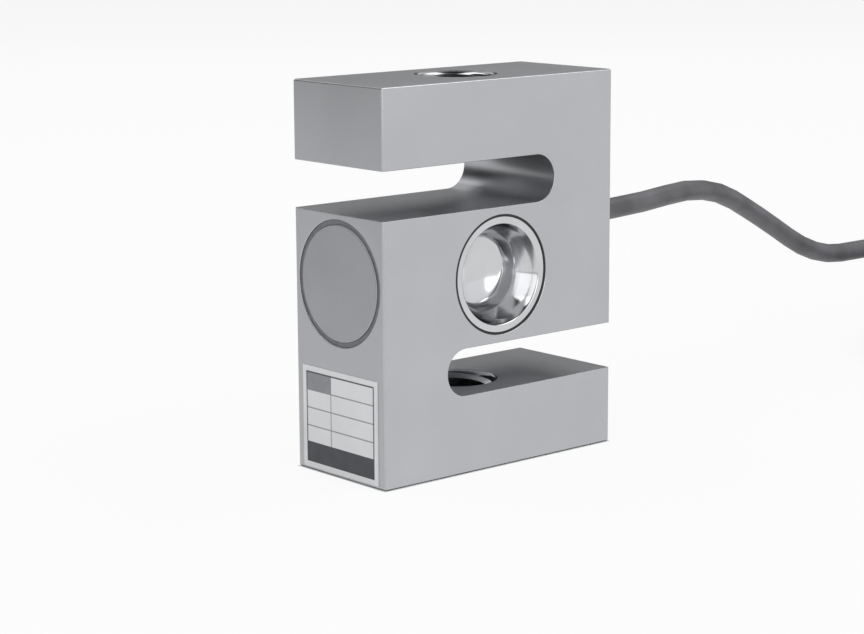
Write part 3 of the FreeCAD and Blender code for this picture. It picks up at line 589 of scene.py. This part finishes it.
@dataclass
class Studio:
    """The white floor, the soft surroundings and the lamps.

    A small sheet with no glow lies on the floor under the cell, where no light would reach.
    """

    floor_half: tuple[float, float] = (6000.0, 6000.0)
    floor_drop: float = 0.05
    floor_colour: str = "#f2f3f4"
    glow_share: float = 0.9
    stand_half: tuple[float, float] = (25.2, 11.45)
    stand_drop: float = 0.025
    paper_points: int = 9
    room_way: Triple = (0.5, -0.74, -0.45)
    room_span: tuple[float, float] = (-0.4, 0.95)
    room_dark: str = "#161617"
    room_bright: str = "#fafbfc"
    room_strength: float = 1.1
    target: Triple = (0.0, 0.0, 32.0)
    boxes: tuple[SoftBox, ...] = (
        SoftBox("front_strip", (-62.0, -1188.0, 160.0), 1213.0, 250.0, 1.9),
        SoftBox("left_panel", (-836.0, -224.0, 520.0), 540.0, 1060.0, 2.8),
        SoftBox("top_right_box", (506.0, -269.0, 851.0), 1100.0, 425.0, 3.6),
        SoftBox("top_left_box", (-356.0, 306.0, 915.0), 1100.0, 425.0, 3.4),
        SoftBox("back_right_box", (537.0, 618.0, 606.0), 800.0, 500.0, 1.1),
        SoftBox("back_left_box", (-185.0, 743.0, 675.0), 500.0, 300.0, 0.4),
    )

    def build(self) -> None:
        """Adds the floor, the paper under the cell, the world and the lamps."""
        self.lay_paper("studio_floor", self.floor_half, -self.floor_drop, self.glow_share)
        self.lay_paper("floor_under_cell", self.stand_half, -self.stand_drop, 0.0)
        self.build_world()
        for box in self.boxes:
            box.build(self.target)

    def lay_paper(self, name: str, half: tuple[float, float], height: float,
                  glow_share: float) -> None:
        """Lays a flat grid of white paper, part of whose light to the eye and mirrors is its own.

        Args:
            name: the sheet's name.
            half: half its width and half its depth.
            height: its height.
            glow_share: the part that glows, so that the rest can keep a shadow.
        """
        across, along = np.meshgrid(np.linspace(-half[0], half[0], self.paper_points),
                                    np.linspace(-half[1], half[1], self.paper_points),
                                    indexing="ij")
        points = np.stack([across, along, np.full_like(across, height)], axis=-1)
        mesh = grid_mesh(name, points)
        finish = bpy.data.materials.new(f"matt_white_paper_of_{name}")
        finish.use_nodes = True
        tree = finish.node_tree
        tree.nodes.clear()
        paper = add_node(tree, "ShaderNodeBsdfDiffuse", inputs={"Color": linear(self.floor_colour)})
        glow = add_node(tree, "ShaderNodeEmission", inputs={"Strength": 1.0})
        share = add_node(tree, "ShaderNodeMath", {"operation": "MULTIPLY"}, {
            0: self.seen_rays(tree), 1: glow_share})
        both = add_node(tree, "ShaderNodeMixShader", inputs={
            0: share.outputs[0], 1: paper.outputs[0], 2: glow.outputs[0]})
        add_node(tree, "ShaderNodeOutputMaterial", inputs={"Surface": both.outputs[0]})
        mesh.materials.append(finish)
        sheet = bpy.data.objects.new(name, mesh)
        bpy.context.scene.collection.objects.link(sheet)

    def seen_rays(self, tree: bpy.types.NodeTree) -> bpy.types.NodeSocket:
        """Makes a value of one for rays of the camera, of mirrors and through glass.

        Args:
            tree: the material's node tree.

        Returns:
            The value's socket.
        """
        path = add_node(tree, "ShaderNodeLightPath")
        pair = add_node(tree, "ShaderNodeMath", {"operation": "MAXIMUM"}, {
            0: path.outputs["Is Camera Ray"], 1: path.outputs["Is Glossy Ray"]})
        every = add_node(tree, "ShaderNodeMath", {"operation": "MAXIMUM"}, {
            0: pair.outputs[0], 1: path.outputs["Is Transmission Ray"]})
        return every.outputs[0]

    def build_world(self) -> None:
        """Makes soft surroundings, bright low at the front right and dark high at the back left.

        The brightness eases from dark to bright with the part of a direction that lies along
        the room's way, over the room's span.
        """
        world = bpy.data.worlds.new("soft_room")
        world.use_nodes = True
        tree = world.node_tree
        tree.nodes.clear()
        way = add_node(tree, "ShaderNodeTexCoord").outputs["Generated"]
        side = add_node(tree, "ShaderNodeVectorMath", {"operation": "DOT_PRODUCT"}, {
            0: way, 1: self.room_way})
        share = add_node(tree, "ShaderNodeMapRange", {"interpolation_type": "SMOOTHSTEP"}, {
            "Value": side.outputs["Value"], "From Min": self.room_span[0],
            "From Max": self.room_span[1]})
        blend = add_node(tree, "ShaderNodeMix", {"data_type": "RGBA"}, {
            0: share.outputs["Result"], 6: linear(self.room_dark), 7: linear(self.room_bright)})
        back = add_node(tree, "ShaderNodeBackground", inputs={
            "Color": blend.outputs[2], "Strength": self.room_strength})
        add_node(tree, "ShaderNodeOutputWorld", inputs={"Surface": back.outputs[0]})
        bpy.context.scene.world = world


@dataclass
class SignalCable:
    """The signal cable: its run from the gland, the tied hank and the free end.

    The hank winds in from its outer column to its inner one on the top level and out again on
    the next, level by level down to the floor.
    """

    diameter: float = 3.7
    length: float = 3000.0
    route: tuple[Triple, ...] = (
        (15.0, 0.0, 37.8), (40.0, 0.0, 37.8), (65.0, 4.0, 39.7), (85.0, 8.0, 31.0),
        (103.0, 9.0, 20.85), (119.0, 9.0, 20.85))
    exit_point: Triple = (29.5, 0.0, 37.8)
    axis_y: float = -9.5
    inner_bend: float = 11.1
    columns: int = 3
    levels: int = 6
    low_level: float = 2.35
    left_fold: float = 139.35
    right_fold: float = 172.35
    sleeve_end: float = 115.0
    fold_points: int = 9
    outer_bulge: float = 1.6
    inner_bulge: float = -0.7
    tube_steps: int = 5
    curve_steps: int = 4
    curve_order: int = 3

    def radii(self, level: int) -> list[float]:
        """Gives the bends of a level's turns, in the order in which they are wound.

        Args:
            level: the level, from zero at the top.

        Returns:
            The radii.
        """
        bends = [self.inner_bend + self.diameter * column for column in range(self.columns)]
        return bends[::-1] if level % 2 == 0 else bends

    def height(self, level: int) -> float:
        """Gives the height of a level's centre line."""
        return self.low_level + self.diameter * (self.levels - 1 - level)

    def fold(self, centre_x: float, start: float, bends: tuple[float, float],
             heights: tuple[float, float], bulge: float) -> np.ndarray:
        """Makes the control points of one fold, half a turn clockwise seen from above.

        The points lie on the corners of a polygon round the fold's circle, so that the spline
        touches the circle. Bend and height ease from their first value to their last, and the
        bulge stands out most in the middle.

        Args:
            centre_x: the fold's centre.
            start: the angle at which the fold starts.
            bends: the first and the last bend radius.
            heights: the first and the last height.
            bulge: how far the middle stands out.

        Returns:
            The points, one a row.
        """
        step = math.pi / self.fold_points
        share = (np.arange(self.fold_points) + 0.5) / self.fold_points
        ease = smooth_step(share)
        angle = start - math.pi * share
        reach = bends[0] + (bends[1] - bends[0]) * ease + bulge * np.sin(math.pi * share)
        reach = reach / math.cos(step / 2)
        return np.stack([centre_x + reach * np.cos(angle), self.axis_y + reach * np.sin(angle),
                         heights[0] + (heights[1] - heights[0]) * ease], axis=1)

    def hank_points(self) -> np.ndarray:
        """Winds the hank: a fold at the right keeps its bend, and one at the left changes it.

        Returns:
            The control points of all turns.
        """
        turns = [(level, bend) for level in range(self.levels) for bend in self.radii(level)]
        folds = []
        for (level, bend), after in zip(turns, [*turns[1:], None]):
            here = self.height(level)
            folds.append(self.fold(self.right_fold, math.pi / 2, (bend, bend), (here, here), 0.0))
            if after is None:
                continue
            bulge = 0.0
            if after[0] != level:
                bulge = self.inner_bulge if bend == self.inner_bend else self.outer_bulge
            folds.append(self.fold(self.left_fold, -math.pi / 2, (bend, after[1]),
                                   (here, self.height(after[0])), bulge))
        return np.concatenate(folds)

    def build(self) -> None:
        outer = self.inner_bend + self.diameter * (self.columns - 1)
        tail = (self.sleeve_end, self.axis_y - outer, self.low_level)
        points = np.concatenate([np.array(self.route), self.hank_points(), np.array([tail])]) * MM
        curve = bpy.data.curves.new("signal_cable", "CURVE")
        curve.dimensions = "3D"
        curve.bevel_depth = self.diameter / 2 * MM
        curve.bevel_resolution = self.tube_steps
        curve.resolution_u = self.curve_steps
        curve.use_fill_caps = True
        spline = curve.splines.new("NURBS")
        spline.points.add(len(points) - 1)
        spline.points.foreach_set("co", np.column_stack([points, np.ones(len(points))]).ravel())
        spline.order_u = self.curve_order
        spline.use_endpoint_u = True
        curve.materials.append(FINISHES[Slot.CABLE_JACKET].material())
        cable = bpy.data.objects.new("signal_cable", curve)
        bpy.context.scene.collection.objects.link(cable)
        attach(cable, BODY)
        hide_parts("cable_run", "cable_hank")
        log.info("piece signal_cable, %d control points", len(points))
        self.build_end_pieces()

    def build_end_pieces(self) -> list[bpy.types.Object]:
        """Dresses the ties and the free end's pieces.

        Returns:
            The pieces that lie on the cable.
        """
        slots = {"front_tie": Slot.TIE_PLASTIC, "rear_tie": Slot.TIE_PLASTIC,
                 "end_sleeve": Slot.SHRINK_SLEEVE, "flying_lead_red": Slot.CORE_RED,
                 "flying_lead_black": Slot.CORE_BLACK, "flying_lead_green": Slot.CORE_GREEN,
                 "flying_lead_white": Slot.CORE_WHITE, "drain_wire": Slot.BARE_WIRE,
                 "lead_tips": Slot.BARE_WIRE}
        return [fine_copy(f"{node}_fine", node, slot) for node, slot in slots.items()]


@dataclass
class BeamBlock:
    """The S-shaped block with its two threads."""

    thread_radius: float = 6.03
    crest_radius: float = 5.053
    pitch: float = 1.75
    root_half: float = 0.766
    crest_half: float = 0.219
    runs: dict[str, tuple[float, float]] = field(
        default_factory=lambda: {"top_thread": (51.9, 63.1), "bottom_thread": (0.9, 12.1)})
    steps_per_turn: int = 72
    run_out: float = 0.25
    edge_reach: float = 0.4
    lean_limit: float = 0.9
    front_share: float = 0.3
    mouth_radius: float = 7.0

    def build(self) -> None:
        """Dresses the block and cuts its threads."""
        block = fine_copy("machined_block", "s_beam_body", Slot.NICKEL_STEEL)
        self.mark_edges(block.data)
        for name, (low, high) in self.runs.items():
            new_piece(name, self.thread_mesh(name, low, high), Slot.NICKEL_STEEL)

    def mark_edges(self, mesh: bpy.types.Mesh) -> None:
        """Marks the chamfers round the front and the back as rubbed.

        They are the faces near the block's hull, away from the tapped holes, whose normals lie
        along no axis but have a part along Y.

        Args:
            mesh: the block's mesh, which takes the mark as an attribute of its faces.
        """
        normals, centres = np.empty((2, len(mesh.polygons) * 3), dtype=np.float32)
        mesh.polygons.foreach_get("normal", normals)
        mesh.polygons.foreach_get("center", centres)
        facing = np.abs(normals.reshape(-1, 3))
        leaning = (facing.max(axis=1) < self.lean_limit) & (facing[:, 1] > self.front_share)
        places = centres.reshape(-1, 3) / MM
        low, high = (np.array(corner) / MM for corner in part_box("s_beam_body"))
        inset = np.minimum(places - low, high - places).min(axis=1)
        away = np.hypot(places[:, 0], places[:, 1]) > self.mouth_radius
        rubbed = leaning & (inset < self.edge_reach) & away
        layer = mesh.attributes.new(RUBBED_EDGE, "FLOAT", "FACE")
        layer.data.foreach_set("value", rubbed.astype(np.float32))

    def thread_mesh(self, name: str, low: float, high: float) -> bpy.types.Mesh:
        """Makes a thread's ridge, a trapezoid carried along a right-hand helix in the bore.

        At turn t the section's middle is at angle 2 pi t and height low + pitch t. The section
        grows from a point on the wall at either end, over the run-out.

        Args:
            name: the mesh's name.
            low: the height where the ridge starts.
            high: the height where it ends.

        Returns:
            The ridge's mesh.
        """
        turns = (high - low) / self.pitch
        turn = np.linspace(0.0, turns, int(turns * self.steps_per_turn))[:, None]
        size = smooth_step(np.clip(np.minimum(turn, turns - turn) / self.run_out, 0.0, 1.0))
        inward = np.array([0.0, 1.0, 1.0, 0.0])[None, :]
        half = np.array([-self.root_half, -self.crest_half, self.crest_half, self.root_half])
        reach = self.thread_radius - (self.thread_radius - self.crest_radius) * inward * size
        rise = low + self.pitch * turn + half[None, :] * size
        angle = 2.0 * math.pi * turn
        points = np.stack([reach * np.cos(angle), reach * np.sin(angle), rise], axis=-1)
        return grid_mesh(name, points, wrap_columns=True)


@dataclass
class GaugeCups:
    """The two drawn cups in the gauge pockets, front and back."""

    face: float = 11.25
    height: float = 32.0
    sheet: float = 0.4
    seat_depth: float = 0.6
    rim: float = 9.555
    flange_width: float = 1.15
    mouth_taper: float = 0.62
    mouth_depth: float = 1.55
    wall_taper: float = 1.40
    wall_depth: float = 3.95
    well_taper: float = 0.52
    well_depth: float = 6.4
    floor_dish: float = 1.0
    rounds: tuple[float, ...] = (0.5, 0.4, 0.4, 0.25, 0.1, 0.1, 0.2, 0.4, 0.4, 0.5)
    segments: int = 192
    round_steps: int = 7
    dish_steps: int = 24

    def build(self) -> None:
        """Spins both cups and dresses their seals."""
        for side in Face:
            node = f"{side.name.lower()}_cup"
            name = f"{node}_drawn"
            new_piece(name, self.cup_mesh(name, side), Slot.POLISHED_STEEL, node)
            fine_copy(f"{node}_seal_bead", f"{node}_seal", Slot.SEALANT)

    def inner_corners(self) -> np.ndarray:
        """Gives the corners of the inner skin, from the floor's edge to the flange.

        Returns:
            A radius and a depth a row.
        """
        mouth = self.rim - self.flange_width
        throat = mouth - self.mouth_taper
        waist = throat - self.wall_taper
        return np.array([(waist - self.well_taper, self.well_depth), (waist, self.wall_depth),
                         (throat, self.mouth_depth), (mouth, self.seat_depth - self.sheet)])

    def profile(self) -> np.ndarray:
        """Gives the cup's section as radius and depth, from the inner pole to the outer one.

        The floor is part of a sphere through its edge and its middle. The outer skin's corners
        are the inner ones moved a sheet along both neighbours' normals. Each corner becomes a
        quadratic curve between two points at its round's reach from it.

        Returns:
            The section's points, one a row.
        """
        inner = self.inner_corners()
        edge, deep = inner[0, 0], self.well_depth + self.floor_dish
        sphere = (edge ** 2 + self.floor_dish ** 2) / (2.0 * self.floor_dish)
        lean = math.asin(edge / sphere)
        stretches = np.concatenate([[(math.cos(lean), -math.sin(lean))],
                                    np.diff(inner, axis=0), [(1.0, 0.0)]])
        stretches = stretches / np.linalg.norm(stretches, axis=1)[:, None]
        normals = np.stack([-stretches[:, 1], stretches[:, 0]], axis=1)
        mitres = normals[:-1] + normals[1:]
        outer = inner + self.sheet * mitres / (np.sum(mitres ** 2, axis=1) / 2.0)[:, None]
        rim = np.array([(self.rim, inner[-1, 1]), (self.rim, self.seat_depth)])
        corners = np.concatenate([inner, rim, outer[::-1]])
        before = np.roll(corners, 1, axis=0) - corners
        after = np.roll(corners, -1, axis=0) - corners
        before[0], after[-1] = -stretches[0], -stretches[0]
        before = before / np.linalg.norm(before, axis=1)[:, None]
        after = after / np.linalg.norm(after, axis=1)[:, None]
        reach = np.array(self.rounds)[:, None]
        t = np.linspace(0.0, 1.0, self.round_steps)[None, :, None]
        start = (corners + before * reach)[:, None, :]
        end = (corners + after * reach)[:, None, :]
        curves = (1 - t) ** 2 * start + 2 * t * (1 - t) * corners[:, None, :] + t ** 2 * end
        share = np.linspace(0.0, 1.0, self.dish_steps, endpoint=False)
        dishes = []
        for radius, last in ((sphere, start[0, 0, 0]), (sphere + self.sheet, end[-1, 0, 0])):
            across = share * last
            depth = deep - sphere + np.sqrt(radius ** 2 - across ** 2)
            dishes.append(np.stack([across, depth], axis=1))
        return np.concatenate([dishes[0], curves.reshape(-1, 2), dishes[1][::-1]])

    def cup_mesh(self, name: str, side: Face) -> bpy.types.Mesh:
        """Turns the section about the cup's axis: each point goes round at its own depth.

        Args:
            name: the mesh's name.
            side: the face that the cup is in.

        Returns:
            The cup's mesh.
        """
        section = self.profile()
        angle = np.linspace(0.0, 2.0 * math.pi, self.segments, endpoint=False)[:, None]
        reach, depth = section[None, :, 0], section[None, :, 1]
        across = reach * np.cos(angle)
        rise = self.height + reach * np.sin(angle)
        along = np.broadcast_to(side.value * (self.face - depth), across.shape)
        return grid_mesh(name, np.stack([across, along, rise], axis=-1), wrap_rows=True)


@dataclass(frozen=True)
class InkArea:
    """A printed area of the label: its reach across, along Y, its reach upwards, and its ink."""

    across: tuple[float, float]
    upward: tuple[float, float]
    ink: Ink


@dataclass
class PrintedLabel:
    """The label film on the left side, with a plain print in two inks."""

    face_x: float = -25.12
    half_width: float = 9.6
    low: float = 0.5
    high: float = 17.5
    thickness: float = 0.12
    frame_inset: float = 0.9
    frame_line: float = 0.25
    band_height: float = 3.4
    field_line: float = 0.2
    field_tops: tuple[float, ...] = (7.4, 10.4, 13.4)
    field_split: float = 2.2

    def areas(self) -> list[InkArea]:
        """Lists the printed areas: the frame, its clear field, the band, the lines and a cell.

        Returns:
            The areas; a later one lies over an earlier one.
        """
        edge, line = self.half_width - self.frame_inset, self.frame_line
        bottom, top = self.low + self.frame_inset, self.high - self.frame_inset
        inner, band_top = (line - edge, edge - line), bottom + self.band_height
        split_end = self.field_split + self.field_line
        found = [InkArea((-edge, edge), (bottom, top), Ink.DARK),
                 InkArea(inner, (bottom + line, top - line), Ink.NONE),
                 InkArea(inner, (bottom + line, band_top), Ink.DARK)]
        for height in self.field_tops:
            found.append(InkArea(inner, (height, height + self.field_line), Ink.GREY))
        found.append(InkArea((self.field_split, split_end), (band_top, top - line), Ink.GREY))
        found.append(InkArea((split_end, edge - line),
                             (self.field_tops[-1] + self.field_line, top - line), Ink.GREY))
        return found

    def cell_inks(self, across: np.ndarray, upward: np.ndarray) -> np.ndarray:
        """Gives each cell between the print's lines the ink of the last area over its middle.

        Args:
            across: the places of the lines along Y.
            upward: the heights of the lines.

        Returns:
            The inks' values, by cell across and upwards.
        """
        middle_y = ((across[1:] + across[:-1]) / 2)[:, None]
        middle_z = ((upward[1:] + upward[:-1]) / 2)[None, :]
        inks = np.zeros((len(across) - 1, len(upward) - 1), dtype=np.int32)
        for area in self.areas():
            in_y = (middle_y > area.across[0]) & (middle_y < area.across[1])
            in_z = (middle_z > area.upward[0]) & (middle_z < area.upward[1])
            inks[in_y & in_z] = area.ink.value
        return inks

    def build(self) -> None:
        """Cuts the film into cells along the print's lines and gives each cell its ink."""
        areas = self.areas()
        across = np.unique([(-self.half_width, self.half_width), *(area.across for area in areas)])
        upward = np.unique([(self.low, self.high), *(area.upward for area in areas)])
        y, z = np.meshgrid(across, upward, indexing="ij")
        mesh = raw_grid("printed_label", np.stack([np.full_like(y, self.face_x), y, z], axis=-1))
        mesh.polygons.foreach_set("material_index", self.cell_inks(across, upward).ravel())
        for ink in Ink:
            mesh.materials.append(INK_FINISHES[ink].material())
        mesh.update()
        label = new_piece("printed_label", mesh, Slot.LABEL_FILM, "label_plate")
        film = label.modifiers.new("film", "SOLIDIFY")
        film.thickness, film.offset = self.thickness * MM, -1.0


@dataclass
class SmallParts:
    """The cover, the gland and the bridge circuit behind the cover."""

    shown: dict[str, Slot] = field(default_factory=lambda: {
        "side_cover": Slot.COVER_STEEL, "side_cover_seal": Slot.GREY_SEALANT,
        "gland_screw": Slot.PLATED_BRASS})

    def build(self) -> None:
        """Gives the parts that show a fine copy, and every CAD node its finish."""
        for node, slot in self.shown.items():
            fine_copy(f"{node}_fine", node, slot)
        for part in frame["record"]["subparts"]:
            mesh = frame["nodes"][part["node"]].data
            mesh.materials.clear()
            mesh.materials.append(FINISHES[Slot(part["material_slot"])].material())
            log.info("node %s wears %s", part["node"], part["material_slot"])


def main() -> None:
    """Builds the camera, the cable and each sub-assembly in order, and the studio last."""
    logging.basicConfig(level=logging.INFO, format="%(name)s: %(message)s")
    bpy.context.scene.view_settings.view_transform = "Standard"
    PhotoCamera().build()
    SignalCable().build()
    BeamBlock().build()
    GaugeCups().build()
    PrintedLabel().build()
    SmallParts().build()
    Studio().build()


if __name__ == "__main__":
    main()
